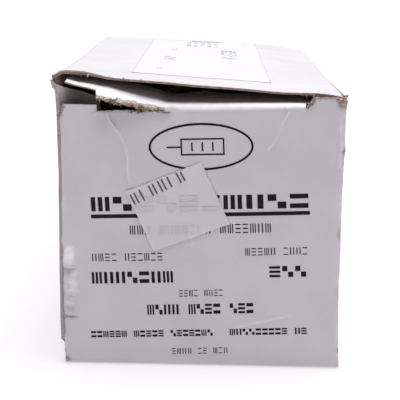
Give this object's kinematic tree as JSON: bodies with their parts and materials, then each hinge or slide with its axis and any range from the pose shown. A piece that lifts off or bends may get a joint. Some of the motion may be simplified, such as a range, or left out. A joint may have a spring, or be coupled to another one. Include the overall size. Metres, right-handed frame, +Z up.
{
  "type": "boxed pneumatic exhaust muffler",
  "caption": "Tuck-end carton with hinged end lids holding a threaded, perforated air exhaust muffler that lies loose inside.",
  "frame": {"origin": "centre of the face the carton stands on", "axes": "+Z up, +Y along the carton away from the printed front lid, +X to the right seen from the front lid"},
  "size_m": [0.0636, 0.1271, 0.0665],
  "materials": {
    "carton_board": "clay-coated white outside, brown kraft inside",
    "label_paper": "smooth pinkish paper",
    "sticker_paper": "thin translucent paper",
    "nipple_steel": "turned, zinc-plated steel",
    "cast_alloy": "pressed alloy, satin",
    "shell_steel": "zinc-plated perforated sheet",
    "core_steel": "perforated tube",
    "felt": "pressed felt",
    "fibre": "packed fibre",
    "mesh_wire": "woven wire",
    "gasket_fibre": "matte",
    "zinc_plated_steel": "bright zinc plate"
  },
  "bodies": {
    "sleeve": {"carton_bottom_panel": "carton_board", "carton_top_panel": "carton_board", "carton_left_wall": "carton_board", "carton_right_wall": "carton_board", "carton_glue_flap": "carton_board", "shipping_label": "label_paper"},
    "front_lid": {"front_lid": "carton_board", "number_sticker": "sticker_paper"},
    "front_tuck": {"front_tuck_flap": "carton_board"},
    "front_dust_left": {"front_dust_flap_left": "carton_board"},
    "front_dust_right": {"front_dust_flap_right": "carton_board"},
    "rear_lid": {"rear_lid": "carton_board"},
    "rear_tuck": {"rear_tuck_flap": "carton_board"},
    "rear_dust_left": {"rear_dust_flap_left": "carton_board"},
    "rear_dust_right": {"rear_dust_flap_right": "carton_board"},
    "muffler": {"inlet_nipple": "nipple_steel", "base_cup": "cast_alloy", "end_cap": "cast_alloy", "perforated_shell": "shell_steel", "core_tube": "core_steel", "felt_sleeve": "felt", "fibre_pack": "fibre", "mesh_sleeve": "mesh_wire", "base_gasket": "gasket_fibre", "cap_gasket": "gasket_fibre", "tie_rod": "zinc_plated_steel", "rod_lock_nut": "zinc_plated_steel", "flat_washer": "zinc_plated_steel", "lock_washer": "zinc_plated_steel", "acorn_nut": "zinc_plated_steel"}
  },
  "joints": [
    {"name": "front_lid_hinge", "type": "hinge", "parent": "sleeve", "child": "front_lid", "pos_m": [0, -0.0631, 0.0004], "axis": [1, 0, 0], "range_deg": [0, 90]},
    {"name": "front_tuck_fold", "type": "hinge", "parent": "front_lid", "child": "front_tuck", "pos_m": [0, -0.0631, 0.0606], "axis": [1, 0, 0], "range_deg": [0, 72]},
    {"name": "front_dust_left_fold", "type": "hinge", "parent": "sleeve", "child": "front_dust_left", "pos_m": [-0.03135, -0.062, 0.031], "axis": [0, 0, -1], "range_deg": [0, 90]},
    {"name": "front_dust_right_fold", "type": "hinge", "parent": "sleeve", "child": "front_dust_right", "pos_m": [0.03135, -0.062, 0.031], "axis": [0, 0, 1], "range_deg": [0, 90]},
    {"name": "rear_lid_hinge", "type": "hinge", "parent": "sleeve", "child": "rear_lid", "pos_m": [0, 0.0631, 0.0004], "axis": [-1, 0, 0], "range_deg": [0, 90]},
    {"name": "rear_tuck_fold", "type": "hinge", "parent": "rear_lid", "child": "rear_tuck", "pos_m": [0, 0.0631, 0.0606], "axis": [-1, 0, 0], "range_deg": [0, 72]},
    {"name": "rear_dust_left_fold", "type": "hinge", "parent": "sleeve", "child": "rear_dust_left", "pos_m": [-0.03135, 0.062, 0.031], "axis": [0, 0, 1], "range_deg": [0, 90]},
    {"name": "rear_dust_right_fold", "type": "hinge", "parent": "sleeve", "child": "rear_dust_right", "pos_m": [0.03135, 0.062, 0.031], "axis": [0, 0, -1], "range_deg": [0, 90]},
    {"name": "muffler_play", "type": "slide", "parent": "sleeve", "child": "muffler", "axis": [0, -1, 0], "range_m": [-0.003, 0.003]}
  ],
  "couplings": [
    {"joint": "front_tuck_fold", "follows": "front_lid_hinge", "ratio": 0.8},
    {"joint": "front_dust_left_fold", "follows": "front_lid_hinge", "ratio": 1},
    {"joint": "front_dust_right_fold", "follows": "front_lid_hinge", "ratio": 1},
    {"joint": "rear_tuck_fold", "follows": "rear_lid_hinge", "ratio": 0.8},
    {"joint": "rear_dust_left_fold", "follows": "rear_lid_hinge", "ratio": 1},
    {"joint": "rear_dust_right_fold", "follows": "rear_lid_hinge", "ratio": 1}
  ]
}
